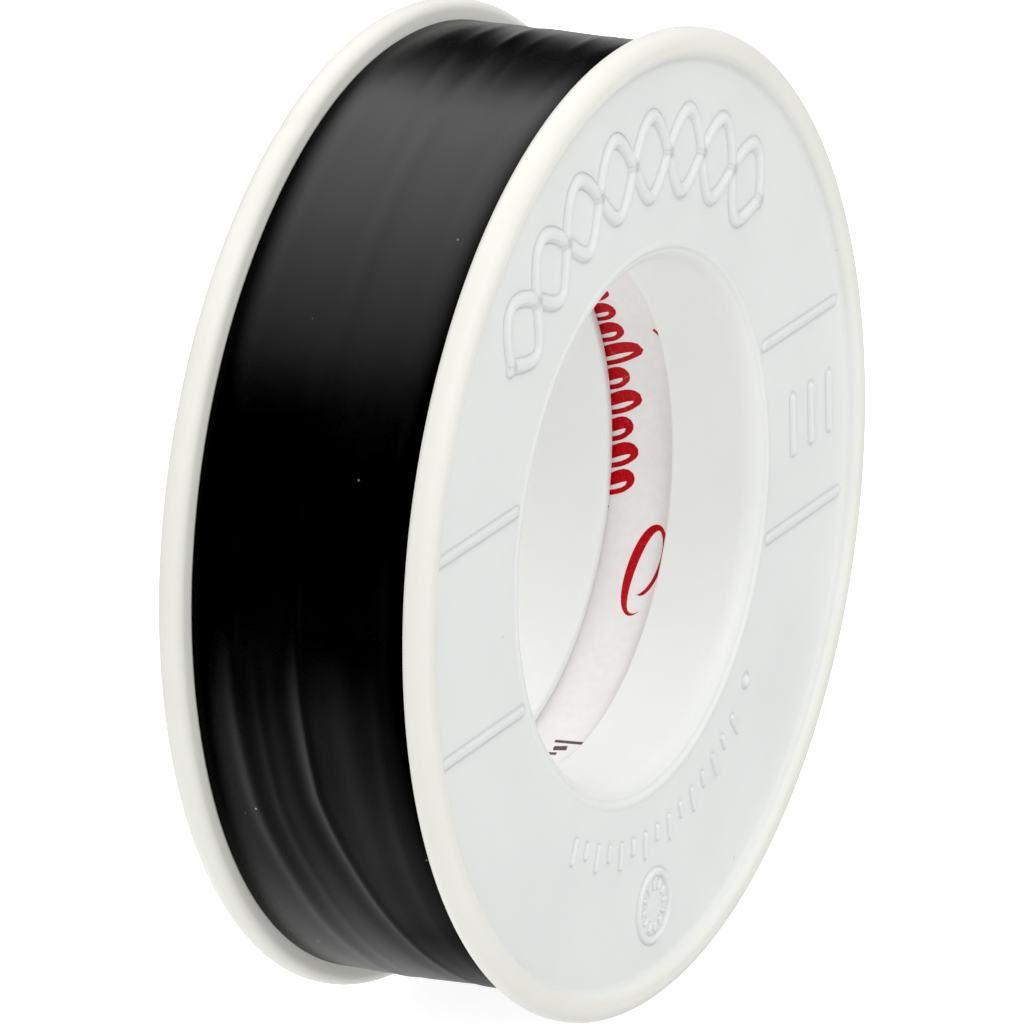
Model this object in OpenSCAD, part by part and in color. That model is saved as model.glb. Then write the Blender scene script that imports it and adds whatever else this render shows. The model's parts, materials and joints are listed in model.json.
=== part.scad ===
// Roll of adhesive electrical tape on a two-disc spool.
// The tape is wound on a paper core. A moulded side disc with a short spigot
// pushes into each end of the core, so the discs carry the roll on their rims.
// The roll stands on its rims with its axis along Y. The front disc faces -Y.
// The origin is the middle of the bore.

/* [Tape] */
// Width of the tape
tape_w = 15; // [12:0.5:19]
// Thickness of one wound turn
tape_t = 0.16; // [0.12:0.01:0.2]
// Outside diameter of the stuck-down turns, just after the strip leaves them
wound_d = 60.8; // [56:0.1:61]
// Angle where the strip leaves the wound turns, from +X towards +Z
end_start = 38; // [20:1:60]
// Arc of one section of the free end
end_arc = 17; // [12:1:20]
// Play between the free end and the turn under it
end_gap = 0.03; // [0.02:0.01:0.05]

/* [Side discs] */
// Diameter of a side disc
disc_d = 64; // [63.6:0.1:66]
// Thickness of the disc's rim
rim_t = 1.85; // [1.6:0.05:2.2]
// Radial width of the raised rim
rim_w = 2.25; // [1.9:0.05:2.6]
// How far the web lies below the crest of the rim
web_drop = 0.77; // [0.5:0.01:0.95]
// Play between the tape's edge and each disc
side_play = 0.15; // [0.1:0.01:0.3]
// Diameter of the bore through the spool
bore_d = 33.8; // [32:0.1:34.2]
// Wall of the spigot
spigot_wall = 0.8; // [0.7:0.05:1]
// Length of the spigot, from the crest of the rim to its end
spigot_l = 7.2; // [5:0.1:7.4]
// Radius of the lip where the web turns into the bore
lip_r = 1.3; // [0.8:0.05:1.4]

/* [Raised marks on the discs] */
// Height of the raised marks above the web
mark_h = 0.26; // [0.15:0.01:0.4]
// How far the marks are turned about the axis
mark_turn = 3.2; // [-180:0.1:180]
// Width of the two pairs of straight ridges
ridge_w = 0.6; // [0.4:0.05:0.9]
// Distance of the ridges from the disc's middle line
ridge_off = 6.6; // [5:0.1:8]
// Waves in each strand of the raised ornament
waves = 4; // [3:1:5]
// Height of a wave, from its middle to its crest
wave_h = 2.6; // [1.5:0.1:2.7]
// Width of the ornament's line
wave_w = 0.7; // [0.5:0.05:0.8]

/* [Core] */
// Running clearance between spigot and core liner, on the radius
core_play = 0.05; // [0.02:0.01:0.1]
// Thickness of the printed paper liner
liner_t = 0.25; // [0.2:0.05:0.4]
// Thickness of the wound board
board_t = 2.2; // [1.6:0.1:2.6]

/* [Hidden] */
$fn = 128;

disc_r = disc_d / 2;
bore_r = bore_d / 2;
spigot_r = bore_r + spigot_wall;
liner_ri = spigot_r + core_play;
board_ri = liner_ri + liner_t;
board_ro = board_ri + board_t;
wound_r = wound_d / 2;
half_w = tape_w / 2 + side_play + rim_t;   // middle of the bore to the rim's crest
web_z = -web_drop;
mark_z = web_z - 0.2;          // raised marks are sunk 0.2 into the web
web_ro = disc_r - rim_w;       // inner foot of the rim
web_ri = bore_r + lip_r;       // where the lip starts
white = [0.93, 0.935, 0.92];
black = [0.06, 0.06, 0.065];

// Points of an arc in the radius and height plane
function arc(cx, cz, r, a0, a1, n) =
    [for (i = [0:n]) let (a = a0 + (a1 - a0) * i / n) [cx + r * cos(a), cz + r * sin(a)]];

function polar(r, a) = [r * cos(a), r * sin(a)];
function unit(v) = v / norm(v);

// Turns a shape built along +Z so that its top faces -Y
module stand() { rotate([90, 0, 0]) children(); }

// Profile of a side disc. Height 0 is the crest of the rim, and the spigot runs down.
disc_profile = concat(
    [[spigot_r, -rim_t]],
    arc(disc_r - 0.7, -rim_t + 0.7, 0.7, -90, 0, 6),
    arc(disc_r - 0.95, -0.95, 0.95, 0, 90, 8),
    [[web_ro + 0.95, 0]],
    arc(web_ro + 0.85, web_z + 0.17, 0.6, 90, 150, 4),
    [[web_ro, web_z]],
    arc(web_ri, web_z - lip_r, lip_r, 90, 180, 8),
    [[bore_r, -spigot_l + 0.25], [bore_r + 0.2, -spigot_l],
     [spigot_r - 0.25, -spigot_l], [spigot_r, -spigot_l + 0.5]]
);

// Centre line of one strand of the raised ornament, a wave that follows the rim
wave_a0 = 138;
wave_a1 = 44;
wave_mid = 24.1;
function wave_p(s, side) = polar(wave_mid + side * wave_h * sin(360 * waves * s), wave_a0 + (wave_a1 - wave_a0) * s);
function wave_n(s, side) = let (d = unit(wave_p(s + 0.001, side) - wave_p(s - 0.001, side))) [-d[1], d[0]];
wave_steps = 14 * waves;
function wave_outline(side) = concat(
    [for (i = [0:wave_steps]) let (s = i / wave_steps) wave_p(s, side) + wave_n(s, side) * wave_w / 2],
    [for (i = [wave_steps:-1:0]) let (s = i / wave_steps) wave_p(s, side) - wave_n(s, side) * wave_w / 2]
);

// A flat raised mark, standing mark_h above the web
module raise() {
    translate([0, 0, mark_z]) linear_extrude(height = mark_h + 0.2) children();
}

// A bar between two radii, parallel to the disc's middle line
module ridge(side, y) {
    x0 = sqrt(pow(web_ri + 0.5, 2) - y * y);
    x1 = sqrt(pow(web_ro - 0.3, 2) - pow(abs(y) + ridge_w / 2, 2));
    raise() translate([side > 0 ? x0 : -x1, y - ridge_w / 2]) square([x1 - x0, ridge_w]);
}

module disc_marks() {
    for (side = [-1, 1], y = [-ridge_off, ridge_off]) ridge(side, y);
    // two strands that cross like a plait
    raise() polygon(wave_outline(1));
    raise() polygon(wave_outline(-1));
    // three plain bars between the right-hand ridges
    for (k = [0:2]) raise() translate([21.4 + 2.7 * k, -2.1]) square([0.9, 4.2]);
    // row of ticks along the lower arc
    for (k = [0:14]) raise() rotate(-121 + 66 * k / 14) translate([20.5, -0.25]) square([k % 2 == 0 ? 1.8 : 1.1, 0.5]);
    // ring of a mould date stamp, with ticks and no figures
    translate([0, -25.9, mark_z]) difference() {
        cylinder(r = 2.5, h = mark_h + 0.2);
        translate([0, 0, -1]) cylinder(r = 2.0, h = mark_h + 3);
    }
    for (k = [0:11]) raise() translate([0, -25.9]) rotate(30 * k) translate([1.2, -0.15]) square([0.5, 0.3]);
    // moulding gate
    translate(concat(polar(20.7, -47.2), [mark_z])) cylinder(r = 0.5, h = mark_h + 0.24);
}

// One side disc with its spigot, outer face up
module side_disc() {
    color(white) union() {
        rotate_extrude() polygon(disc_profile);
        rotate(mark_turn) disc_marks();
    }
}

module front_side_disc() { stand() translate([0, 0, half_w]) side_disc(); }

module rear_side_disc() { stand() translate([0, 0, -half_w]) rotate([0, 180, 0]) side_disc(); }

module tube(ri, ro) {
    stand() translate([0, 0, -tape_w / 2]) difference() {
        cylinder(r = ro, h = tape_w);
        translate([0, 0, -1]) cylinder(r = ri, h = tape_w + 2);
    }
}

module core_board() { color([0.66, 0.55, 0.42]) tube(board_ri, board_ro); }

module core_liner() { color([0.94, 0.93, 0.92]) tube(liner_ri, board_ri); }

// Outside radius of the wound turns, a sweep past the place where the strip leaves them
function turn_r(sweep) = wound_r + tape_t * sweep / 360;

// All the turns that are stuck down. The last one ends in a step of one thickness.
module wound_tape() {
    pts = [for (i = [0:180]) polar(turn_r(2 * i), end_start - 2 * i)];
    color(black) stand() translate([0, 0, -tape_w / 2]) difference() {
        linear_extrude(height = tape_w) polygon(pts);
        translate([0, 0, -1]) cylinder(r = board_ro, h = tape_w + 2);
    }
}

// One section of the free end, lying on the turn under it
module tape_end(k) {
    cut = 0.04;
    a0 = end_arc * k + cut;
    a1 = end_arc * (k + 1) - cut;
    n = 12;
    sweeps = [for (i = [0:n]) a0 + (a1 - a0) * i / n];
    color(black) stand() translate([0, 0, -tape_w / 2]) linear_extrude(height = tape_w) polygon(concat(
        [for (s = sweeps) polar(turn_r(s) + end_gap + tape_t, end_start - s)],
        [for (i = [n:-1:0]) polar(turn_r(sweeps[i]) + end_gap, end_start - sweeps[i])]
    ));
}

module tape_end_1() { tape_end(0); }
module tape_end_2() { tape_end(1); }
module tape_end_3() { tape_end(2); }

front_side_disc();
rear_side_disc();
core_board();
core_liner();
wound_tape();
tape_end_1();
tape_end_2();
tape_end_3();
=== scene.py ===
import json
import math

import bpy
import numpy as np
from mathutils import Matrix, Vector


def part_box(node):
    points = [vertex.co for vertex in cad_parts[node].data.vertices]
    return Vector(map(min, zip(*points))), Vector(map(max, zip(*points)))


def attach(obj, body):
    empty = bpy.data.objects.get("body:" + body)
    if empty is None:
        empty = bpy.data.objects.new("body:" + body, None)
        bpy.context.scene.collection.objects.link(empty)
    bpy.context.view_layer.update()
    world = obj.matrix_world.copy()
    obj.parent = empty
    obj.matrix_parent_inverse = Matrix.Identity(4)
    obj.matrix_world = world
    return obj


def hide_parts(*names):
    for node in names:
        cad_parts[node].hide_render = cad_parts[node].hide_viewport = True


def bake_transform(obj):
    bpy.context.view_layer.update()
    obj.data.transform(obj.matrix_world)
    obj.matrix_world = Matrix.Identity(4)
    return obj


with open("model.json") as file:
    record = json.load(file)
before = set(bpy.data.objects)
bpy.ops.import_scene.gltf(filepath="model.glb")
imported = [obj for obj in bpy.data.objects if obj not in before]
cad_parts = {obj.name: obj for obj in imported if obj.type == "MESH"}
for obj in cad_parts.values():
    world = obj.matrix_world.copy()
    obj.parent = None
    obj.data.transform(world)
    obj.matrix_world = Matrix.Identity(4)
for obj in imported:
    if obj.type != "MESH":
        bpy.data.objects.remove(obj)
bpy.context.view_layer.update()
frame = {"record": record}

MM = 0.001
rng = np.random.default_rng(7)

# ---------------------------------------------------------------- dimensions, from the CAD frame
fd_lo, fd_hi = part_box("front_side_disc")
lin_lo, lin_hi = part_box("core_liner")
brd_lo, brd_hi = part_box("core_board")
HALF = -fd_lo[1] / MM                 # middle of the bore to the rim's crest
DISC_R = fd_hi[0] / MM
LINER_RO = lin_hi[0] / MM
BOARD_RO = brd_hi[0] / MM
HW = lin_hi[1] / MM                   # half the tape's width
BORE_R = [m for m in frame["record"]["mounts"] if m["name"] == "spindle_bore"][0]["dims"]["r_mm"]
SPIGOT_R = BORE_R + 0.8
LINER_RI = LINER_RO - 0.25
RIM_T, RIM_W, WEB_DROP, LIP_R, SPIGOT_L = 1.85, 2.25, 0.77, 1.3, 7.2
WEB_RO, WEB_RI = DISC_R - RIM_W, BORE_R + LIP_R
MARK_H, MARK_TURN = 0.26, 3.2
TAPE_T, WOUND_R = 0.16, 30.4
END_START, END_ARC, END_GAP = 38.0, 17.0, 0.03


# ---------------------------------------------------------------- small mesh kit
def world_of(x, y, z):
    """Spool coordinates in mm (x right, y up on the front disc, z towards the front) to the row frame in metres."""
    return np.stack([x, -z, y], axis=-1) * MM


def grid_faces(nu, nv, wrap_u, wrap_v, base=0, flip=False):
    iu = np.arange(nu if wrap_u else nu - 1)
    iv = np.arange(nv if wrap_v else nv - 1)
    a, b = np.meshgrid(iu, iv, indexing="ij")
    a2, b2 = (a + 1) % nu, (b + 1) % nv
    f = np.stack([a * nv + b, a2 * nv + b, a2 * nv + b2, a * nv + b2], -1).reshape(-1, 4) + base
    return f[:, ::-1] if flip else f


def make_object(name, verts, faces, material, smooth=True, merge=None, extra_tris=None):
    me = bpy.data.meshes.new(name)
    fl = [tuple(int(i) for i in f) for f in faces]
    if extra_tris is not None:
        fl += [tuple(int(i) for i in f) for f in extra_tris]
    me.from_pydata([tuple(map(float, v)) for v in verts], [], fl)
    me.validate()
    ob = bpy.data.objects.new(name, me)
    bpy.context.scene.collection.objects.link(ob)
    if merge:
        import bmesh
        bm = bmesh.new()
        bm.from_mesh(me)
        bmesh.ops.remove_doubles(bm, verts=bm.verts, dist=merge)
        bmesh.ops.dissolve_degenerate(bm, edges=bm.edges, dist=merge * 0.5)
        bmesh.ops.recalc_face_normals(bm, faces=bm.faces)
        bm.to_mesh(me)
        bm.free()
    if smooth:
        me.polygons.foreach_set("use_smooth", [True] * len(me.polygons))
    me.materials.append(material)
    me.update()
    return ob


def smoothstep(e0, e1, x):
    t = np.clip((x - e0) / (e1 - e0), 0, 1)
    return t * t * (3 - 2 * t)


# ---------------------------------------------------------------- node helpers
class Nodes:
    def __init__(self, name):
        self.mat = bpy.data.materials.new(name)
        self.mat.use_nodes = True
        self.nt = self.mat.node_tree
        self.nt.nodes.clear()
        self.out = self.nt.nodes.new("ShaderNodeOutputMaterial")
        self.bsdf = self.nt.nodes.new("ShaderNodeBsdfPrincipled")
        self.nt.links.new(self.bsdf.outputs[0], self.out.inputs[0])
        self.coord = self.nt.nodes.new("ShaderNodeTexCoord").outputs["Object"]

    def put(self, socket, value):
        if hasattr(value, "links") or isinstance(value, bpy.types.NodeSocket):
            self.nt.links.new(value, socket)
        else:
            socket.default_value = value

    def math(self, op, a, b=None, c=None, clamp=False):
        n = self.nt.nodes.new("ShaderNodeMath")
        n.operation = op
        n.use_clamp = clamp
        for i, v in enumerate((a, b, c)):
            if v is not None:
                self.put(n.inputs[i], v)
        return n.outputs[0]

    def map_range(self, v, a, b, c, d, smooth=False):
        n = self.nt.nodes.new("ShaderNodeMapRange")
        n.interpolation_type = "SMOOTHSTEP" if smooth else "LINEAR"
        n.clamp = True
        for i, x in zip((0, 1, 2, 3, 4), (v, a, b, c, d)):
            self.put(n.inputs[i], x)
        return n.outputs[0]

    def scaled(self, sx, sy, sz, vec=None):
        n = self.nt.nodes.new("ShaderNodeMapping")
        self.put(n.inputs["Vector"], vec or self.coord)
        n.inputs["Scale"].default_value = (sx, sy, sz)
        return n.outputs[0]

    def noise(self, vec, scale, detail=3.0, rough=0.5, distort=0.0):
        n = self.nt.nodes.new("ShaderNodeTexNoise")
        self.put(n.inputs["Vector"], vec)
        n.inputs["Scale"].default_value = scale
        n.inputs["Detail"].default_value = detail
        n.inputs["Roughness"].default_value = rough
        n.inputs["Distortion"].default_value = distort
        return n.outputs["Fac"]

    def voronoi(self, vec, scale, feature="F1"):
        n = self.nt.nodes.new("ShaderNodeTexVoronoi")
        n.feature = feature
        self.put(n.inputs["Vector"], vec)
        n.inputs["Scale"].default_value = scale
        return n

    def mix(self, fac, a, b):
        n = self.nt.nodes.new("ShaderNodeMix")
        n.data_type = "RGBA"
        n.clamp_factor = True
        self.put(n.inputs[0], fac)
        self.put(n.inputs[6], a)
        self.put(n.inputs[7], b)
        return n.outputs[2]

    def xyz(self, vec=None):
        n = self.nt.nodes.new("ShaderNodeSeparateXYZ")
        self.put(n.inputs[0], vec or self.coord)
        return n.outputs

    def bump(self, height, distance, strength=1.0, normal=None):
        n = self.nt.nodes.new("ShaderNodeBump")
        n.inputs["Distance"].default_value = distance
        n.inputs["Strength"].default_value = strength
        self.put(n.inputs["Height"], height)
        if normal is not None:
            self.put(n.inputs["Normal"], normal)
        return n.outputs[0]


def plastic_material():
    m = Nodes("disc_white_plastic")
    cloud = m.noise(m.coord, 90, 3, 0.55)
    fine = m.noise(m.coord, 2600, 2, 0.5)
    grain = m.noise(m.coord, 900, 3, 0.6)
    x, y, z = m.xyz()
    rad = m.math("SQRT", m.math("ADD", m.math("MULTIPLY", x, x), m.math("MULTIPLY", z, z)))
    base = m.mix(m.map_range(cloud, 0.35, 0.68, 0, 1), (0.790, 0.805, 0.793, 1), (0.818, 0.832, 0.820, 1))
    # handling grime, barely there, along the rim's outer edge
    grime = m.math("MULTIPLY", m.map_range(rad, 0.0311, 0.0320, 0, 1, True), m.map_range(m.noise(m.coord, 260, 5, 0.7), 0.52, 0.78, 0, 1))
    base = m.mix(m.math("MULTIPLY", grime, 0.16), base, (0.62, 0.60, 0.54, 1))
    # a few dark specks in the plastic
    vor = m.voronoi(m.coord, 210)
    speck = m.math("MULTIPLY", m.math("LESS_THAN", vor.outputs["Distance"], 0.022), m.math("GREATER_THAN", m.xyz(vor.outputs["Color"])[0], 0.80))
    base = m.mix(m.math("MULTIPLY", speck, 0.35), base, (0.35, 0.32, 0.27, 1))
    # the thick rim and the spigot are a little creamier than the thin web
    thick = m.math("MAXIMUM", m.map_range(rad, 0.0297, 0.0306, 0, 1, True), m.map_range(rad, 0.0171, 0.0185, 0.28, 0, True))
    base = m.mix(thick, base, m.mix(m.map_range(cloud, 0.35, 0.68, 0, 1), (0.808, 0.804, 0.752, 1), (0.838, 0.834, 0.788, 1)))
    m.put(m.bsdf.inputs["Base Color"], base)
    m.put(m.bsdf.inputs["Roughness"], m.map_range(grain, 0.3, 0.7, 0.40, 0.52))
    m.bsdf.inputs["IOR"].default_value = 1.49
    m.bsdf.inputs["Specular IOR Level"].default_value = 0.42
    m.bsdf.inputs["Subsurface Weight"].default_value = 0.22
    m.bsdf.inputs["Subsurface Radius"].default_value = (1.0, 0.95, 0.85)
    m.bsdf.inputs["Subsurface Scale"].default_value = 0.0007
    h = m.math("ADD", m.math("MULTIPLY", grain, 0.7), m.math("MULTIPLY", fine, 0.3))
    n1 = m.bump(h, 0.000008, 0.5)
    m.put(m.bsdf.inputs["Normal"], m.bump(m.noise(m.coord, 120, 2, 0.5), 0.00004, 0.35, n1))
    return m.mat


def tape_material():
    m = Nodes("tape_black_pvc")
    around = m.scaled(0.09, 1.0, 0.09)          # long along the strip, short across it
    streak = m.noise(around, 1500, 4, 0.6)
    streak2 = m.noise(m.scaled(0.16, 1.0, 0.16), 420, 3, 0.55)
    grain = m.noise(m.coord, 5200, 2, 0.55)
    blotch = m.noise(m.coord, 150, 4, 0.6)
    base = m.mix(m.map_range(blotch, 0.3, 0.7, 0, 1), (0.0009, 0.0009, 0.0010, 1), (0.0018, 0.0018, 0.0020, 1))
    vor = m.voronoi(m.coord, 330)
    dust = m.math("MULTIPLY", m.math("LESS_THAN", vor.outputs["Distance"], 0.026), m.math("GREATER_THAN", m.xyz(vor.outputs["Color"])[0], 0.72))
    vor2 = m.voronoi(m.coord, 900)
    dust2 = m.math("MULTIPLY", m.math("LESS_THAN", vor2.outputs["Distance"], 0.07), m.math("GREATER_THAN", m.xyz(vor2.outputs["Color"])[1], 0.955))
    base = m.mix(m.math("MAXIMUM", m.math("MULTIPLY", dust, 0.8), m.math("MULTIPLY", dust2, 0.35), clamp=True), base, (0.42, 0.42, 0.43, 1))
    m.put(m.bsdf.inputs["Base Color"], base)
    r = m.math("ADD", m.map_range(blotch, 0.3, 0.7, 0.245, 0.285), m.map_range(streak, 0.3, 0.7, -0.006, 0.010))
    m.put(m.bsdf.inputs["Roughness"], r)
    m.bsdf.inputs["IOR"].default_value = 1.52
    # painted shade: the sheen is cut down towards both edges of the film, standing in for the rounded edges and the
    # shade beside the discs
    px, py, pz = m.xyz()
    sheen_painted_edge_shade = m.map_range(m.math("ABSOLUTE", py), 0.0057, 0.0072, 0.5, 0.09, True)
    # painted shadow: the sheen is cut down on a patch low down near the front edge, where the front disc shades the
    # reflection
    painted_front_disc_shadow = m.math("MULTIPLY", m.map_range(py, 0.0012, -0.0030, 0, 1, True), m.map_range(pz, -0.014, -0.0225, 0, 1, True))
    painted_front_disc_shadow = m.math("MULTIPLY", painted_front_disc_shadow, m.map_range(px, -0.006, -0.012, 0, 0.93, True))
    m.put(m.bsdf.inputs["Specular IOR Level"], m.math("MULTIPLY", sheen_painted_edge_shade, m.math("SUBTRACT", 1.0, painted_front_disc_shadow)))
    h = m.math("ADD", m.math("MULTIPLY", grain, 0.30), m.math("MULTIPLY", streak2, 0.45))
    m.put(m.bsdf.inputs["Normal"], m.bump(h, 0.000007, 0.35))
    return m.mat


def tape_side_material():
    m = Nodes("tape_edge_pvc")
    x, y, z = m.xyz()
    rad = m.math("SQRT", m.math("ADD", m.math("MULTIPLY", x, x), m.math("MULTIPLY", z, z)))
    turn = m.math("FRACT", m.math("DIVIDE", m.math("SUBTRACT", rad, BOARD_RO * MM), TAPE_T * MM))
    line = m.map_range(m.math("ABSOLUTE", m.math("SUBTRACT", turn, 0.5)), 0.30, 0.5, 0, 1, True)
    smear = m.noise(m.coord, 420, 4, 0.65)
    base = m.mix(m.map_range(smear, 0.35, 0.75, 0, 1), (0.010, 0.010, 0.0105, 1), (0.026, 0.026, 0.027, 1))
    base = m.mix(m.math("MULTIPLY", line, 0.7), base, (0.003, 0.003, 0.003, 1))
    m.put(m.bsdf.inputs["Base Color"], base)
    m.put(m.bsdf.inputs["Roughness"], m.map_range(smear, 0.3, 0.7, 0.42, 0.6))
    m.bsdf.inputs["IOR"].default_value = 1.52
    h = m.math("SUBTRACT", m.math("MULTIPLY", smear, 0.5), line)
    m.put(m.bsdf.inputs["Normal"], m.bump(h, 0.00003, 0.6))
    return m.mat


def liner_material():
    """White coated paper, faintly mottled, darkened at both edges by painted shade where it meets the spigots."""
    m = Nodes("core_liner_paper")
    x, y, z = m.xyz()
    paper_n = m.noise(m.coord, 1500, 4, 0.6)
    wide = m.noise(m.coord, 210, 3, 0.5)
    col = m.mix(m.map_range(paper_n, 0.3, 0.7, 0, 1), (0.800, 0.778, 0.772, 1), (0.850, 0.832, 0.826, 1))
    col = m.mix(m.math("MULTIPLY", m.map_range(wide, 0.45, 0.75, 0, 1), 0.30), col, (0.76, 0.73, 0.72, 1))
    # painted shade: a brownish darkening along both edges of the liner, next to the spigot ends
    edge = m.map_range(m.math("ABSOLUTE", y), 0.0068, 0.0075, 0, 1, True)
    col = m.mix(m.math("MULTIPLY", edge, 0.4), col, (0.55, 0.50, 0.45, 1))
    m.put(m.bsdf.inputs["Base Color"], col)
    m.put(m.bsdf.inputs["Roughness"], m.map_range(paper_n, 0.3, 0.7, 0.50, 0.62))
    m.bsdf.inputs["IOR"].default_value = 1.45
    m.bsdf.inputs["Specular IOR Level"].default_value = 0.35
    h = m.math("ADD", paper_n, m.math("MULTIPLY", m.noise(m.scaled(1, 0.25, 1), 2600, 3, 0.6), 0.6))
    m.put(m.bsdf.inputs["Normal"], m.bump(h, 0.000018, 0.5))
    return m.mat


def ink_material(name, lo, hi, worn):
    m = Nodes(name)
    dots = m.map_range(m.noise(m.coord, 5200, 2, 0.6), 0.42, 0.62, 0, 1)
    wear = m.map_range(m.noise(m.coord, 1900, 4, 0.65), 0.58, 0.72, 0, 1)
    col = m.mix(m.math("MULTIPLY", wear, 0.45), m.mix(dots, lo, hi), worn)
    m.put(m.bsdf.inputs["Base Color"], col)
    m.put(m.bsdf.inputs["Roughness"], m.map_range(dots, 0, 1, 0.42, 0.55))
    m.bsdf.inputs["Specular IOR Level"].default_value = 0.16
    return m.mat


def board_material():
    m = Nodes("core_wound_board")
    x, y, z = m.xyz()
    rad = m.math("SQRT", m.math("ADD", m.math("MULTIPLY", x, x), m.math("MULTIPLY", z, z)))
    ply = m.math("FRACT", m.math("DIVIDE", m.math("ADD", rad, m.math("MULTIPLY", m.noise(m.coord, 300, 3, 0.6), 0.00008)), 0.00044))
    edge = m.map_range(m.math("ABSOLUTE", m.math("SUBTRACT", ply, 0.5)), 0.34, 0.5, 0, 1, True)
    fibre = m.noise(m.scaled(1, 1, 1), 1700, 6, 0.7, 0.4)
    blot = m.noise(m.coord, 240, 4, 0.6)
    col = m.mix(m.map_range(fibre, 0.3, 0.7, 0, 1), (0.33, 0.25, 0.165, 1), (0.47, 0.375, 0.265, 1))
    col = m.mix(m.math("MULTIPLY", m.map_range(blot, 0.4, 0.7, 0, 1), 0.35), col, (0.36, 0.30, 0.23, 1))
    col = m.mix(m.math("MULTIPLY", edge, 0.55), col, (0.17, 0.125, 0.085, 1))
    m.put(m.bsdf.inputs["Base Color"], col)
    m.put(m.bsdf.inputs["Roughness"], m.map_range(fibre, 0.3, 0.7, 0.78, 0.92))
    m.bsdf.inputs["Specular IOR Level"].default_value = 0.25
    m.put(m.bsdf.inputs["Normal"], m.bump(m.math("SUBTRACT", fibre, m.math("MULTIPLY", edge, 0.8)), 0.00006, 0.7))
    return m.mat


MAT_PLASTIC = plastic_material()
MAT_TAPE = tape_material()
MAT_TAPE_SIDE = tape_side_material()
MAT_LINER = liner_material()
MAT_BOARD = board_material()
MAT_INK_RED = ink_material("print_red_ink", (0.40, 0.0008, 0.003, 1), (0.56, 0.003, 0.010, 1), (0.66, 0.10, 0.11, 1))
MAT_INK_DARK = ink_material("print_dark_ink", (0.085, 0.050, 0.065, 1), (0.13, 0.085, 0.10, 1), (0.25, 0.20, 0.21, 1))


# ---------------------------------------------------------------- side discs
def arc_pts(cx, cz, r, a0, a1, n, rz=None):
    a = np.radians(np.linspace(a0, a1, n))
    return np.stack([cx + r * np.cos(a), cz + (rz or r) * np.sin(a)], -1)


def line_pts(p, q, n, skip_ends=True):
    t = np.linspace(0, 1, n + 2)[1:-1] if skip_ends else np.linspace(0, 1, n)
    return np.array(p)[None] * (1 - t[:, None]) + np.array(q)[None] * t[:, None]


def disc_profile():
    """Closed loop of (radius, height) in mm. Height 0 is the rim's crest, negative is inwards."""
    web = -WEB_DROP
    f = 0.35                                     # fillet behind the rim, at the spigot's root
    parts = [
        arc_pts(SPIGOT_R + f, -RIM_T - f, f, 180, 90, 6),
        line_pts((SPIGOT_R + f, -RIM_T), (DISC_R - 0.7, -RIM_T), 14),
        arc_pts(DISC_R - 0.7, -RIM_T + 0.7, 0.7, -90, 0, 12),
        arc_pts(DISC_R - 0.95, -0.95, 0.95, 0, 90, 18),
        line_pts((DISC_R - 0.95, 0.0), (WEB_RO + 0.92, 0.0), 2),
        arc_pts(WEB_RO + 0.92, -0.62, 0.62, 90, 158, 12),
        # concave foot where the rim meets the web
        arc_pts(WEB_RO - 0.08, web + 0.42, 0.44, -22, -90, 9, 0.42),
        line_pts((WEB_RO - 0.12, web), (WEB_RI + 0.50, web), 21),
        line_pts((WEB_RI + 0.55, web), (WEB_RI + 0.02, web), 7),
        arc_pts(WEB_RI, web - LIP_R, LIP_R, 90, 180, 40),
        line_pts((BORE_R, web - LIP_R), (BORE_R, -SPIGOT_L + 0.2), 10),
        arc_pts(BORE_R + 0.2, -SPIGOT_L + 0.2, 0.2, 180, 270, 5),
        line_pts((BORE_R + 0.2, -SPIGOT_L), (SPIGOT_R - 0.25, -SPIGOT_L), 1),
        arc_pts(SPIGOT_R - 0.25, -SPIGOT_L + 0.25, 0.25, -90, 0, 5, 0.25),
        line_pts((SPIGOT_R, -SPIGOT_L + 0.25), (SPIGOT_R, -RIM_T - f), 8),
    ]
    prof = np.concatenate(parts)
    # the lip starts with a fine raised edge and a shallow groove inside it
    near = prof[:, 1] > web - 0.5
    r = prof[:, 0]
    step = 0.055 * smoothstep(WEB_RI - 0.34, WEB_RI - 0.22, r) * (1 - smoothstep(WEB_RI - 0.05, WEB_RI + 0.25, r))
    prof[:, 1] += np.where(near, step - 0.060 * np.exp(-((r - WEB_RI + 0.42) / 0.10) ** 2), 0.0)
    return prof


def bell(u, flat=0.13, foot=0.43):
    return 1 - smoothstep(flat, foot, np.abs(u))


US = np.array([-0.47, -0.41, -0.35, -0.29, -0.23, -0.17, -0.10, 0.0, 0.10, 0.17, 0.23, 0.29, 0.35, 0.41, 0.47])


def ribbon(path, height, width=1.0, closed=False, caps=7):
    """A raised line with a soft cross-section along path (n by 2, mm), as (verts n by 3 in disc coordinates, faces)."""
    path = np.asarray(path, float)
    d = np.roll(path, -1, 0) - np.roll(path, 1, 0) if closed else np.gradient(path, axis=0)
    t = d / np.linalg.norm(d, axis=1)[:, None]
    n = np.stack([-t[:, 1], t[:, 0]], -1)
    us = US * width
    hs = bell(US) * height - 0.006
    rows = []
    if not closed:
        for j in range(caps, 0, -1):
            ph = math.pi / 2 * j / caps
            side = np.sign(us)[:, None] * n[0] * math.cos(ph) - t[0] * math.sin(ph)
            rows.append(path[0] + np.abs(us)[:, None] * side)
    for p, nn in zip(path, n):
        rows.append(p + us[:, None] * nn)
    if not closed:
        for j in range(1, caps + 1):
            ph = math.pi / 2 * j / caps
            side = np.sign(us)[:, None] * n[-1] * math.cos(ph) + t[-1] * math.sin(ph)
            rows.append(path[-1] + np.abs(us)[:, None] * side)
    xy = np.concatenate(rows)
    z = np.tile(hs, len(rows))
    verts = np.column_stack([xy, z - WEB_DROP])
    faces = grid_faces(len(rows), len(us), closed, True)
    return verts, faces


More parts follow.
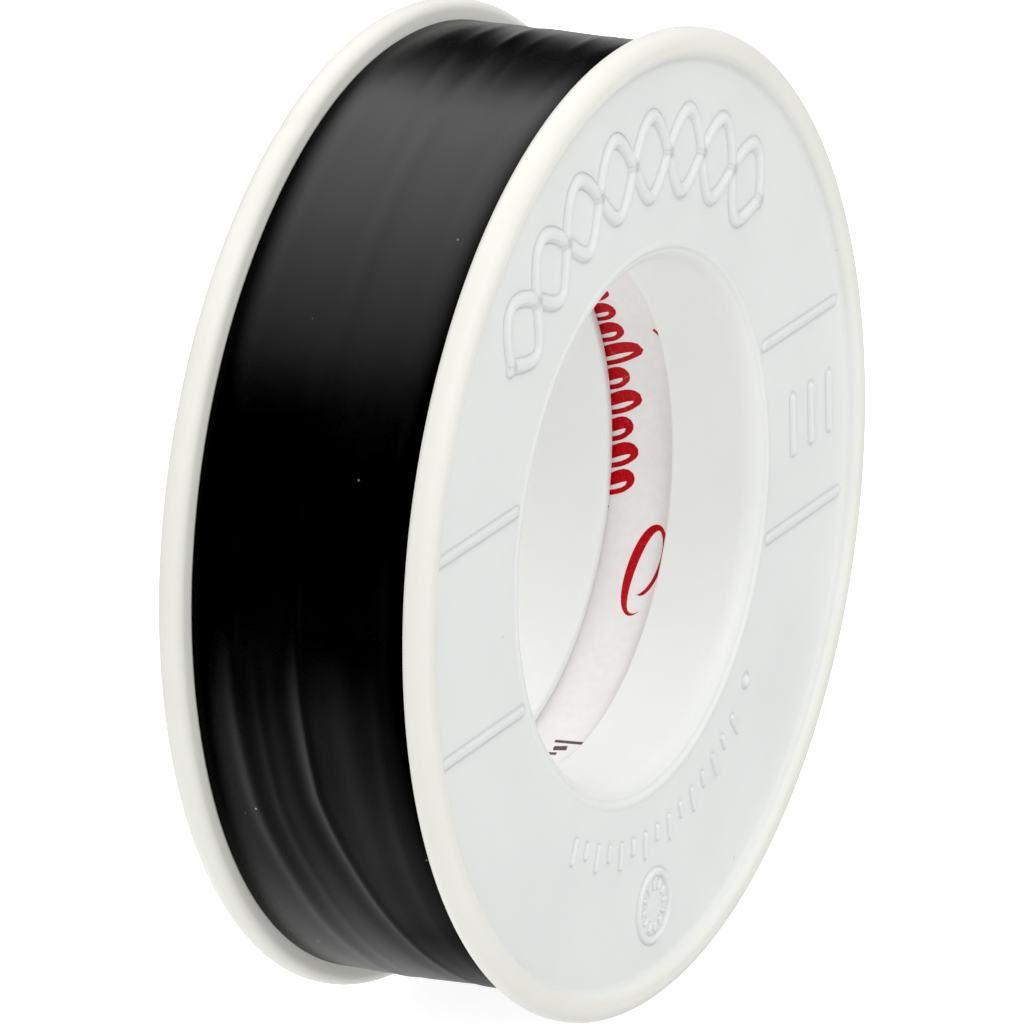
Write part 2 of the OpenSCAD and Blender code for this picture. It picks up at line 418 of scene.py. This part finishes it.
def mark_pieces():
    out = []
    c, s = math.cos(math.radians(MARK_TURN)), math.sin(math.radians(MARK_TURN))
    turn = np.array([[c, s], [-s, c]])

    def add(path, h=MARK_H, w=1.0, closed=False):
        out.append(ribbon(np.asarray(path) @ turn, h, w, closed))

    off = 6.6
    for side in (-1, 1):
        for y in (-off, off):
            x0 = math.sqrt((WEB_RI + 0.75) ** 2 - y * y)
            x1 = math.sqrt((WEB_RO - 0.65) ** 2 - (abs(y) + 0.3) ** 2)
            add([(side * x0, y), (side * (x0 + x1) / 2, y), (side * x1, y)], MARK_H * 0.62, 1.02)
    for sgn in (1, -1):
        k = np.linspace(0, 1, 58 * 4)
        a = np.radians(138 + (44 - 138) * k)
        r = 24.1 + sgn * 2.6 * np.sin(2 * np.pi * 4 * k)
        add(np.stack([r * np.cos(a), r * np.sin(a)], -1), MARK_H * 1.10, 1.24)
    for k in range(9):
        b = math.radians(138 + (44 - 138) * k / 8)
        p = np.array([24.1 * math.cos(b), 24.1 * math.sin(b)])
        q = 0.12 * np.array([-math.sin(b), math.cos(b)])
        add([p - q, p, p + q], MARK_H * 1.11, 1.42)
    for k in range(3):
        x = 21.85 + 2.7 * k
        add([(x, -1.75), (x, 0), (x, 1.75)], MARK_H * 0.9, 1.15)
    for k in range(15):
        a = math.radians(-121 + 66 * k / 14)
        l0, l1 = 20.75, 20.75 + (1.35 if k % 2 == 0 else 0.7)
        add([(l * math.cos(a), l * math.sin(a)) for l in (l0, (l0 + l1) / 2, l1)], MARK_H * 0.8, 0.72)
    a = np.linspace(0, 2 * np.pi, 72, endpoint=False)
    add(np.stack([2.25 * np.cos(a), -25.9 + 2.25 * np.sin(a)], -1), MARK_H * 0.9, 0.75, True)
    for k in range(12):
        b = math.radians(30 * k)
        add([(l * math.cos(b), -25.9 + l * math.sin(b)) for l in (1.25, 1.45, 1.6)], MARK_H * 0.7, 0.42)
    # moulding gate: a small low dome
    g = math.radians(-47.2)
    gp = np.array([20.7 * math.cos(g), 20.7 * math.sin(g)])
    add([gp - (0.02, 0), gp, gp + (0.02, 0)], MARK_H * 1.15, 1.25)
    return out


def side_disc(name, body, node, front):
    prof = disc_profile()
    nth = 288
    th = np.linspace(0, 2 * np.pi, nth, endpoint=False)
    R, H = prof[:, 0], prof[:, 1]
    X = R[None] * np.cos(th)[:, None]
    Y = R[None] * np.sin(th)[:, None]
    Z = np.repeat(H[None], nth, 0)
    # moulded parts are never dead flat: a slow warp of a few hundredths
    rr = np.hypot(X, Y)
    Z = Z + 0.03 * np.sin(2 * np.arctan2(Y, X) + 0.7) * smoothstep(20, 32, rr) * (0.8 if front else -0.6) * 0.5
    if not front:
        # a small nick in the rim
        a = math.radians(119)
        dd = np.hypot(X - DISC_R * math.cos(math.pi - a), Y - DISC_R * math.sin(a))
        k = np.exp(-(dd / 0.55) ** 2) * 0.12
        X, Y = X * (1 - k / 32 * 1.5), Y * (1 - k / 32 * 1.5)
    verts = [np.stack([X, Y, Z], -1).reshape(-1, 3)]
    faces = [grid_faces(nth, len(prof), True, True)]
    base = len(verts[0])
    for v, f in mark_pieces():
        verts.append(v)
        faces.append(f + base)
        base += len(v)
    V = np.concatenate(verts)
    F = np.concatenate(faces)
    if front:
        P = world_of(V[:, 0], V[:, 1], V[:, 2] + HALF)
    else:
        P = world_of(-V[:, 0], V[:, 1], -V[:, 2] - HALF)
    ob = make_object(name, P, F, MAT_PLASTIC, merge=2e-7)
    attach(ob, body)
    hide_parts(node)
    return ob


side_disc("front_disc_moulding", "front_disc", "front_side_disc", True)
side_disc("rear_disc_moulding", "rear_disc", "rear_side_disc", False)


# ---------------------------------------------------------------- the tape
def turn_r(s):
    return WOUND_R + TAPE_T * s / 360.0


def interp_deg(th, xs, ys):
    return np.interp(th % 360, xs, ys)


def relief(th, v):
    """How far the tape's face stands off its plain spiral, in mm. th in degrees from +X towards +Z, v in mm towards the rear."""
    th = np.asarray(th, float) % 360
    a = np.radians(th)
    out = np.zeros(np.broadcast(th, v).shape)

    def ridge(centre, sigma, amp):
        return amp * np.exp(-((v - centre) / sigma) ** 2)

    low = smoothstep(150, 185, th) * (1 - smoothstep(262, 300, th))
    high = smoothstep(60, 85, th) * (1 - smoothstep(140, 158, th))
    rest = 1 - smoothstep(60, 85, th) * (1 - smoothstep(262, 300, th))
    # the long narrow ridge, in two lengths
    ca = interp_deg(th, [0, 80, 111, 133, 150, 360], [2.2, 1.4, 0.15, -0.14, -0.3, 2.2])
    cb = interp_deg(th, [0, 145, 151, 165, 176, 189, 202, 215, 226, 240, 270, 360], [0.4, 1.2, 1.03, 0.51, 0.28, 0.18, -0.16, -1.4, -2.2, -3.0, -3.2, 0.4])
    on_b = smoothstep(146, 168, th) * (1 - smoothstep(262, 300, th))
    out += ridge(ca, 0.60, 0.040) * high + ridge(ca + 1.5, 0.9, -0.022) * high
    out += (ridge(cb, 0.27, 0.042) - ridge(cb + 0.95, 0.55, 0.034)) * on_b + ridge(cb, 0.5, 0.02) * rest
    # the broad one nearer the rear edge
    c2 = interp_deg(th, [0, 150, 166, 178, 190, 204, 217, 235, 360], [5.0, 5.3, 5.2, 4.9, 4.8, 4.4, 3.4, 2.6, 5.0])
    out += ridge(c2, 0.55, 0.052) * (0.35 + 0.65 * low) + ridge(c2 - 1.6, 0.30, 0.016) * low
    out += ridge(-3.4 + 0.3 * np.sin(a * 2 + 2), 0.9, 0.016) + ridge(-5.3, 0.5, 0.012)
    # diagonal creases that die away from the top
    for th0, v0, slope, sg, amp, span in ((88, 1.1, -0.075, 0.34, 0.060, 12), (93, -0.9, -0.055, 0.30, 0.040, 9), (86, 3.6, -0.060, 0.42, 0.045, 12),
                                          (84, -3.2, -0.080, 0.36, 0.045, 10), (104, 2.6, -0.050, 0.50, 0.030, 13), (118, 1.7, -0.02, 0.6, 0.022, 14)):
        c = v0 + slope * (th - th0)
        out += amp * np.exp(-((v - c) / sg) ** 2) * np.exp(-((th - th0) / span) ** 2)
    # slow unevenness from winding tension
    out += 0.010 * np.sin(a * 5 + v * 0.35) + 0.008 * np.sin(a * 9 - v * 0.6 + 1.3) + 0.004 * np.sin(a * 14 + v * 0.9 + 0.4)
    out += 0.010 * np.sin(v * 1.45 + 0.8 * np.sin(a * 2) + 0.5) * (0.4 + 0.6 * np.sin(a * 1.5 + 0.3) ** 2)
    # the strip's edges lie lower than its middle
    out -= np.where(v > 0, 0.0, 0.12) * smoothstep(5.2, 7.5, np.abs(v)) + np.where(v > 0, 0.0, 0.05) * smoothstep(6.8, 7.5, np.abs(v)) ** 2
    # the last turns bulge a little at the lower rear
    out += 0.20 * smoothstep(190, 226, th) * (1 - smoothstep(250, 285, th)) * smoothstep(-5.0, 5.0, v)
    return out + 0.02 + 0.13 * smoothstep(48, 84, th) * (1 - smoothstep(104, 140, th))


def wound_tape():
    n_th = 540
    s = np.linspace(0, 360, n_th + 1)
    vs = np.concatenate([np.linspace(-HW, -HW + 0.5, 5)[:-1], np.linspace(-HW + 0.5, HW - 0.5, 71), np.linspace(HW - 0.5, HW, 5)[1:]])
    S, V = np.meshgrid(s, vs, indexing="ij")
    TH = END_START - S
    R = turn_r(S) + relief(TH, V)
    A = np.radians(TH)
    VO = V + 0.07 * np.sign(V) * smoothstep(6.6, 7.5, np.abs(V))
    outer = np.stack([R * np.cos(A) * MM, VO * MM, R * np.sin(A) * MM], -1)
    nv = len(vs)
    verts = [outer.reshape(-1, 3)]
    faces = [grid_faces(n_th + 1, nv, False, False)]
    mats = [np.zeros(len(faces[0]), int)]
    base = len(verts[0])
    # the step where the free end leaves: joins the last row to the first
    step = [(0 * nv + j, 0 * nv + j + 1, n_th * nv + j + 1, n_th * nv + j) for j in range(nv - 1)]
    faces.append(np.array(step))
    mats.append(np.zeros(len(step), int))
    # side faces: every turn's edge stands a little differently
    m_th = 135
    sa = np.linspace(0, 360, m_th + 1)
    turns = int((WOUND_R - BOARD_RO) / TAPE_T) - 1
    for side in (-1, 1):
        jit = rng.normal(0, 0.022, turns + 1)
        jit += 0.05 * np.sin(np.arange(turns + 1) * 0.33 + side)
        ph = rng.uniform(0, 2 * np.pi, turns + 1)
        amp = rng.uniform(0.0, 0.02, turns + 1)
        radii, heights, phs, amps = [], [], [], []
        for k in range(turns):
            r0 = BOARD_RO + 0.02 + k * TAPE_T
            for dr, dh in ((0.0, -0.05), (0.025, 0.0), (TAPE_T - 0.025, 0.0)):
                radii.append(r0 + dr)
                heights.append(min(jit[k], 0.06) + dh)
                phs.append(ph[k])
                amps.append(amp[k])
        radii, heights, phs, amps = map(np.array, (radii, heights, phs, amps))
        SA, RR = np.meshgrid(sa, radii, indexing="ij")
        RR = RR + TAPE_T * SA / 360.0 * smoothstep(BOARD_RO, BOARD_RO + 3 * TAPE_T, RR)
        TH2 = np.radians(END_START - SA)
        HH = heights[None] - 0.07 + amps[None] * np.sin(TH2 + phs[None])
        VV = side * (HW + np.minimum(HH, 0.0))
        ring = np.stack([RR * np.cos(TH2) * MM, VV * MM, RR * np.sin(TH2) * MM], -1)
        nr = len(radii)
        verts.append(ring.reshape(-1, 3))
        f = grid_faces(m_th + 1, nr, False, False, base, side < 0)
        faces.append(f)
        mats.append(np.ones(len(f), int))
        # last strip out to the outer surface's edge
        j = 0 if side < 0 else nv - 1
        q = []
        for i in range(m_th):
            a0, a1 = base + i * nr + nr - 1, base + (i + 1) * nr + nr - 1
            o = [(i * 4 + k) * nv + j for k in range(5)]
            q.append([a0, a1] + o[::-1] if side > 0 else [a1, a0] + o)
        faces.append(q)
        mats.append(np.ones(len(q), int))
        base += len(verts[-1])
    # inside wall against the core
    k = np.linspace(0, 360, m_th + 1)
    inner0 = len(verts[0])
    nr = (base - inner0) // 2 // (m_th + 1)
    q = []
    for i in range(m_th):
        a0, a1 = inner0 + i * nr, inner0 + (i + 1) * nr
        b0, b1 = a0 + nr * (m_th + 1), a1 + nr * (m_th + 1)
        q.append([a0, b0, b1, a1])
    faces.append(q)
    mats.append(np.ones(len(q), int))
    allv = np.concatenate(verts)
    flat = [tuple(int(i) for i in f) for block in faces for f in block]
    ob = make_object("wound_tape_turns", allv, flat, MAT_TAPE)
    ob.data.materials.append(MAT_TAPE_SIDE)
    ids = np.concatenate(mats)
    if len(ob.data.polygons) == len(ids):
        ob.data.polygons.foreach_set("material_index", ids)
    import bmesh
    bm = bmesh.new()
    bm.from_mesh(ob.data)
    bmesh.ops.remove_doubles(bm, verts=bm.verts, dist=2e-7)
    bmesh.ops.recalc_face_normals(bm, faces=bm.faces)
    # the strip's edge is a true corner
    for e in bm.edges:
        if len(e.link_faces) == 2 and e.link_faces[0].material_index != e.link_faces[1].material_index:
            e.smooth = False
        elif len(e.link_faces) == 2 and e.calc_face_angle(0) > 0.9:
            e.smooth = False
    bm.to_mesh(ob.data)
    bm.free()
    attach(ob, "roll")
    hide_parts("wound_tape")
    return ob


wound_tape()


def strip_piece(name, s0, s1, node, last=False):
    """A length of the free end from sweep s0 to s1 degrees, lying on the turn under it."""
    n = max(8, int((s1 - s0) * 3))
    s = np.linspace(s0, s1, n + 1)
    vs = np.linspace(-HW, HW, 61)
    S, V = np.meshgrid(s, vs, indexing="ij")
    if last:
        # cut end: a hair off square, with the slight wave a torn film keeps
        cut = 0.35 * np.sin(V * 0.55 + 0.6) + 0.12 * np.sin(V * 2.3) + 0.05 * V
        S = S + (S - s0) / (s1 - s0) * (cut * 0.6 - 0.9)
    TH = END_START - S
    rel = relief(TH, V)
    base = turn_r(S) + END_GAP + rel
    lift = 0.0
    A = np.radians(TH)
    top_r = base + TAPE_T + lift
    bot_r = base + lift
    edge = 0.02

    def at(R, Vv):
        return np.stack([R * np.cos(A) * MM, Vv * MM, R * np.sin(A) * MM], -1)

    top, bot = at(top_r, V), at(bot_r, V)
    nv = len(vs)
    # closed loop across the strip: top from front to rear, bottom back again
    loop = np.concatenate([top, bot[:, ::-1]], 1)
    nn = loop.shape[1]
    verts = loop.reshape(-1, 3)
    faces = list(map(tuple, grid_faces(n + 1, nn, False, True)))
    for row, flip in ((0, False), (n, True)):
        o = row * nn
        for j in range(nv - 1):
            q = (o + j, o + j + 1, o + nn - 2 - j, o + nn - 1 - j)
            faces.append(q[::-1] if flip else q)
    ob = make_object(name, verts, faces, MAT_TAPE)
    import bmesh
    bm = bmesh.new()
    bm.from_mesh(ob.data)
    bmesh.ops.recalc_face_normals(bm, faces=bm.faces)
    for e in bm.edges:
        if len(e.link_faces) == 2 and e.calc_face_angle(0) > 0.6:
            e.smooth = False
    bm.to_mesh(ob.data)
    bm.free()
    if node:
        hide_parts(node)
    return ob


p1 = strip_piece("free_end_root", 0.0, 8.5, "tape_end_1")
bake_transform(p1)
p2 = strip_piece("free_end_near", 8.5, 25.5, None)
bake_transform(p2)
p3 = strip_piece("free_end_far", 25.5, 42.5, "tape_end_2")
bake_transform(p3)
p4 = strip_piece("free_end_tip", 42.5, 51.0, "tape_end_3", last=True)
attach(p4, "end_3")


# ---------------------------------------------------------------- the core
def tube_piece(name, ri, ro, bevel, material, body, node, n_th=288, wobble=0.0):
    b = bevel
    prof = np.concatenate([
        line_pts((ri, -HW + b), (ri, HW - b), 24, False),
        arc_pts(ri + b, HW - b, b, 180, 90, 4)[1:],
        arc_pts(ro - b, HW - b, b, 90, 0, 4),
        line_pts((ro, HW - b), (ro, -HW + b), 6, True),
        arc_pts(ro - b, -HW + b, b, 0, -90, 4),
        arc_pts(ri + b, -HW + b, b, 270, 180, 4)[:-1],
    ])
    th = np.linspace(0, 2 * np.pi, n_th, endpoint=False)
    R = np.repeat(prof[:, 0][None], n_th, 0)
    Vv = np.repeat(prof[:, 1][None], n_th, 0)
    T = th[:, None]
    if wobble:
        R = R + wobble * (np.sin(3 * T + 0.5) + 0.6 * np.sin(7 * T + Vv * 0.4))
    P = np.stack([R * np.cos(T) * MM, Vv * MM, R * np.sin(T) * MM], -1)
    ob = make_object(name, P.reshape(-1, 3), grid_faces(n_th, len(prof), True, True), material, merge=2e-7)
    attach(ob, body)
    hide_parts(node)
    return ob


tube_piece("core_liner_ply", LINER_RI, LINER_RO, 0.04, MAT_LINER, "roll", "core_liner")


def ink_strokes(name, strokes, material):
    """Thin strokes of ink on the liner. Each is (points in mm along and across the wall, half widths in mm)."""
    verts, faces, base = [], [], 0
    for pts, half in strokes:
        pts = np.asarray(pts, float)
        half = np.broadcast_to(half, len(pts))
        d = np.gradient(pts, axis=0)
        t = d / np.maximum(np.linalg.norm(d, axis=1), 1e-9)[:, None]
        n = np.stack([-t[:, 1], t[:, 0]], -1)
        a, b = pts + n * half[:, None], pts - n * half[:, None]
        rows = []
        for r, p, q in ((LINER_RI - 0.012, a, b), (LINER_RI + 0.02, b, a)):
            for w in (p, q):
                ang = w[:, 0] / LINER_RI
                rows.append(np.stack([r * np.cos(ang), w[:, 1], r * np.sin(ang)], -1))
        loop = np.stack([rows[0], rows[1], rows[2], rows[3]], 1)
        k = len(pts)
        verts.append(loop.reshape(-1, 3) * MM)
        f = [tuple(int(i) for i in q) for q in grid_faces(k, 4, False, True, base)]
        f += [(base, base + 1, base + 2, base + 3), tuple(base + (k - 1) * 4 + j for j in (3, 2, 1, 0))]
        faces += f
        base += k * 4
    ob = make_object(name, np.concatenate(verts), faces, material, smooth=False, merge=1e-8)
    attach(ob, "roll")
    return ob


def running_wave():
    """A pen-like running wave with swelling down strokes. It spells nothing."""
    n = 9 * 26
    t = np.linspace(0, 9, n)
    ph = 2 * np.pi * t
    tall = 1 + 1.05 * np.exp(-((t - 3.25) / 0.22) ** 2) + 0.45 * np.exp(-((t - 5.25) / 0.22) ** 2) + 0.3 * np.exp(-((t - 7.25) / 0.3) ** 2)
    v = 2.35 - 1.25 * np.sin(ph) * np.where(np.sin(ph) > 0, tall, 1.0) + 0.12 * np.sin(t * 2.1)
    u = 11.6 - 1.80 * t - 0.38 * (v - 2.3) + 0.22 * np.sin(2 * ph)
    half = 0.17 + 0.25 * np.clip(np.cos(ph - 0.5), 0, 1) ** 0.8
    return np.stack([u, v], -1), half * np.clip(np.minimum(t, 9 - t) / 0.25, 0.15, 1)


def open_loop():
    """One loose open curl after the wave."""
    t = np.linspace(0, 1, 110)
    a = np.radians(205 - 395 * t)
    grow = 1.18 - 0.50 * smoothstep(0, 1, t)
    u = -8.2 + 2.85 * np.cos(a) * grow
    v = -1.15 + 1.06 * np.sin(a) * grow - 0.14 * (u + 8.2)
    half = 0.13 + 0.20 * np.clip(np.sin(a + 0.25), 0, 1)
    return np.stack([u, v], -1), half * smoothstep(-0.02, 0.10, np.minimum(t, 1 - t))


def dash(u0, v0, u1, v1, w):
    t = np.linspace(0, 1, 8)[:, None]
    return np.array([[u0, v0]]) * (1 - t) + np.array([[u1, v1]]) * t, w


ink_strokes("print_red_strokes", [running_wave(), open_loop(), dash(8.6, -1.55, 8.1, -1.95, 0.11)], MAT_INK_RED)
ink_strokes("print_dark_bars", [dash(-22.55, -1.9, -22.75, 0.2, 0.15), dash(-23.35, -0.95, -23.6, -0.1, 0.26), dash(-24.2, -0.6, -24.35, 0.1, 0.16)], MAT_INK_DARK)
tube_piece("core_board_tube", LINER_RO, BOARD_RO, 0.10, MAT_BOARD, "roll", "core_board")


# ---------------------------------------------------------------- camera
AZ, EL = math.radians(-63.084), math.radians(16.2007)
right = Vector((math.cos(AZ), math.sin(AZ), 0))
back = Vector((math.sin(AZ) * math.cos(EL), -math.cos(AZ) * math.cos(EL), math.sin(EL)))
up = back.cross(right)
pf = Vector((0, -(HALF - RIM_T / 2) * MM, 0))
rf = DISC_R * MM
cam_data = bpy.data.cameras.new("camera")
cam = bpy.data.objects.new("camera", cam_data)
bpy.context.scene.collection.objects.link(cam)
cam.rotation_mode = "QUATERNION"
cam.rotation_quaternion = Matrix((right, up, back)).transposed().to_quaternion()
cam.location = pf - right * (0.26014 * rf) + up * (0.02738 * rf) + back * (23.5643 * rf)
cam_data.sensor_width = 36.0
cam_data.lens = 11833.15 / 1024 * 36.0
cam_data.clip_start, cam_data.clip_end = 0.05, 20.0
bpy.context.scene.camera = cam


# ---------------------------------------------------------------- floor, world, lights
def floor():
    n = 24
    lim = 3.0
    g = np.linspace(-1, 1, n)
    g = np.sign(g) * np.abs(g) ** 3 * lim
    X, Y = np.meshgrid(g, g, indexing="ij")
    P = np.stack([X, Y, np.full_like(X, -DISC_R * MM - 0.00002)], -1).reshape(-1, 3)
    m = Nodes("floor_white")
    m.put(m.bsdf.inputs["Base Color"], m.mix(m.noise(m.coord, 3.0, 2), (0.86, 0.86, 0.86, 1), (0.88, 0.88, 0.88, 1)))
    m.bsdf.inputs["Roughness"].default_value = 0.9
    m.bsdf.inputs["Specular IOR Level"].default_value = 0.1
    lp = m.nt.nodes.new("ShaderNodeLightPath")
    em = m.nt.nodes.new("ShaderNodeEmission")
    em.inputs["Color"].default_value = (1, 1, 1, 1)
    m.nt.links.new(m.math("MULTIPLY", lp.outputs["Is Camera Ray"], 0.90), em.inputs["Strength"])
    add = m.nt.nodes.new("ShaderNodeAddShader")
    m.nt.links.new(m.bsdf.outputs[0], add.inputs[0])
    m.nt.links.new(em.outputs[0], add.inputs[1])
    m.nt.links.new(add.outputs[0], m.out.inputs[0])
    ob = make_object("floor", P, grid_faces(n, n, False, False), m.mat)
    ob.visible_glossy = False
    ob.visible_diffuse = False
    ob.visible_shadow = False


floor()

# The studio: plain white behind, an even fill, and for reflections a long soft box overhead that
# fades to the left, a dark wall on the left and the pale table below.
world = bpy.data.worlds.new("studio")
bpy.context.scene.world = world
world.use_nodes = True
wn = world.node_tree
wn.nodes.clear()


def w_put(socket, value):
    if isinstance(value, bpy.types.NodeSocket):
        wn.links.new(value, socket)
    else:
        socket.default_value = value


def w_math(op, a, b=None, c=None):
    n = wn.nodes.new("ShaderNodeMath")
    n.operation = op
    for i, v in enumerate((a, b, c)):
        if v is not None:
            w_put(n.inputs[i], v)
    return n.outputs[0]


def w_step(v, e0, e1):
    n = wn.nodes.new("ShaderNodeMapRange")
    n.interpolation_type = "SMOOTHSTEP"
    for i, x in enumerate((v, e0, e1, 0.0, 1.0)):
        w_put(n.inputs[i], x)
    return n.outputs[0]


wc = wn.nodes.new("ShaderNodeTexCoord")
wx = wn.nodes.new("ShaderNodeSeparateXYZ")
wn.links.new(wc.outputs["Generated"], wx.inputs[0])
turn = w_math("FRACT", w_math("ADD", w_math("DIVIDE", w_math("ARCTAN2", wx.outputs[2], wx.outputs[0]), 2 * math.pi), 1.0))
ramp = wn.nodes.new("ShaderNodeValToRGB")
ramp.color_ramp.interpolation = "LINEAR"
PROFILE = [(0, .42), (5, .26), (9, .06), (13, .004), (25, .004), (37, .012), (45, .26), (52, .88), (62, 1.0), (90, .93), (105, .66), (118, .45), (130, .28),
           (135, .09), (140, .004), (152, 0), (211, 0), (220, .04), (242, .09), (262, .13), (272, .18), (282, .26), (292, .30), (302, .32), (322, .34), (345, .36), (360, .42)]
while len(ramp.color_ramp.elements) > 1:
    ramp.color_ramp.elements.remove(ramp.color_ramp.elements[0])
ramp.color_ramp.elements[0].position = 0.0
ramp.color_ramp.elements[0].color = (PROFILE[0][1],) * 3 + (1,)
for deg, val in PROFILE[1:]:
    e = ramp.color_ramp.elements.new(deg / 360)
    e.color = (val, val, val, 1)
wn.links.new(turn, ramp.inputs[0])
dy = wx.outputs[1]
window = w_math("MULTIPLY", w_step(dy, 0.0, 0.20), w_math("SUBTRACT", 1.0, w_step(dy, 0.62, 0.86)))
low_side = w_math("MULTIPLY", w_step(w_math("MULTIPLY", wx.outputs[2], -1.0), 0.35, 0.75), w_step(dy, 0.46, 0.66))
left_wall = w_math("MULTIPLY", w_math("MULTIPLY", w_step(w_math("MULTIPLY", wx.outputs[0], -1.0), 0.55, 0.8), w_math("SUBTRACT", 1.0, w_step(dy, 0.02, 0.20))), w_step(dy, -0.5, -0.2))
gloss = w_math("ADD", w_math("MULTIPLY", w_math("MULTIPLY", ramp.outputs[0], window), 1.6),
               w_math("ADD", w_math("MULTIPLY", low_side, 1.45), w_math("MULTIPLY", left_wall, 0.50)))
wo = wn.nodes.new("ShaderNodeOutputWorld")
bg_cam, bg_fill, bg_gloss = (wn.nodes.new("ShaderNodeBackground") for _ in range(3))
w_put(bg_cam.inputs[0], (1, 1, 1, 1)), w_put(bg_cam.inputs[1], 1.05)
dark_left = w_math("MULTIPLY", w_step(w_math("MULTIPLY", wx.outputs[0], -1.0), 0.45, 0.9), w_math("SUBTRACT", 1.0, w_step(dy, 0.35, 0.75)))
fill = w_math("ADD", w_math("ADD", 0.740, w_math("MULTIPLY", w_step(dy, 0.0, 0.65), 0.22)), w_math("MULTIPLY", w_step(wx.outputs[2], 0.25, 0.9), 0.52))
fill = w_math("MULTIPLY", fill, w_math("SUBTRACT", 1.0, w_math("MULTIPLY", dark_left, 0.30)))
fill = w_math("MULTIPLY", fill, w_math("ADD", 1.0, w_math("MULTIPLY", w_step(w_math("MULTIPLY", wx.outputs[2], -1.0), 0.1, 0.8), 0.26)))
low_left = w_math("MULTIPLY", w_step(w_math("MULTIPLY", wx.outputs[2], -1.0), 0.1, 0.7), w_step(w_math("MULTIPLY", wx.outputs[0], -1.0), 0.0, 0.6))
fill = w_math("ADD", fill, w_math("MULTIPLY", low_left, 0.55))
fill = w_math("MULTIPLY", fill, w_math("SUBTRACT", 1.0, w_math("MULTIPLY", w_step(wx.outputs[0], 0.3, 0.9), 0.16)))
w_put(bg_fill.inputs[0], (1, 1, 1, 1)), w_put(bg_fill.inputs[1], fill)
w_put(bg_gloss.inputs[0], (1, 1, 1, 1)), w_put(bg_gloss.inputs[1], gloss)
wl = wn.nodes.new("ShaderNodeLightPath")
w1, w2 = wn.nodes.new("ShaderNodeMixShader"), wn.nodes.new("ShaderNodeMixShader")
wn.links.new(wl.outputs["Is Glossy Ray"], w1.inputs[0])
wn.links.new(bg_fill.outputs[0], w1.inputs[1])
wn.links.new(bg_gloss.outputs[0], w1.inputs[2])
wn.links.new(wl.outputs["Is Camera Ray"], w2.inputs[0])
wn.links.new(w1.outputs[0], w2.inputs[1])
wn.links.new(bg_cam.outputs[0], w2.inputs[2])
wn.links.new(w2.outputs[0], wo.inputs[0])


def area(name, loc, target, sx, sy, power, color=(1, 1, 1), glossy=True, diffuse=True):
    d = bpy.data.lights.new(name, "AREA")
    d.shape, d.size, d.size_y, d.energy, d.color = "RECTANGLE", sx, sy, power, color
    o = bpy.data.objects.new(name, d)
    bpy.context.scene.collection.objects.link(o)
    o.location = loc
    o.rotation_mode = "QUATERNION"
    o.rotation_quaternion = (Vector(target) - Vector(loc)).to_track_quat("-Z", "Y")
    o.visible_camera = False
    o.visible_glossy = glossy
    o.visible_diffuse = diffuse
    return o


area("front_soft", (-0.50, -0.95, 0.80), (0, 0, 0), 0.60, 0.60, 4.6)

sc = bpy.context.scene
sc.view_settings.view_transform = "Standard"
sc.view_settings.look = "None"
sc.view_settings.use_curve_mapping = True
cm = sc.view_settings.curve_mapping
cm.black_level = (0.0045, 0.0045, 0.0045)
cm.update()

bpy.context.view_layer.update()
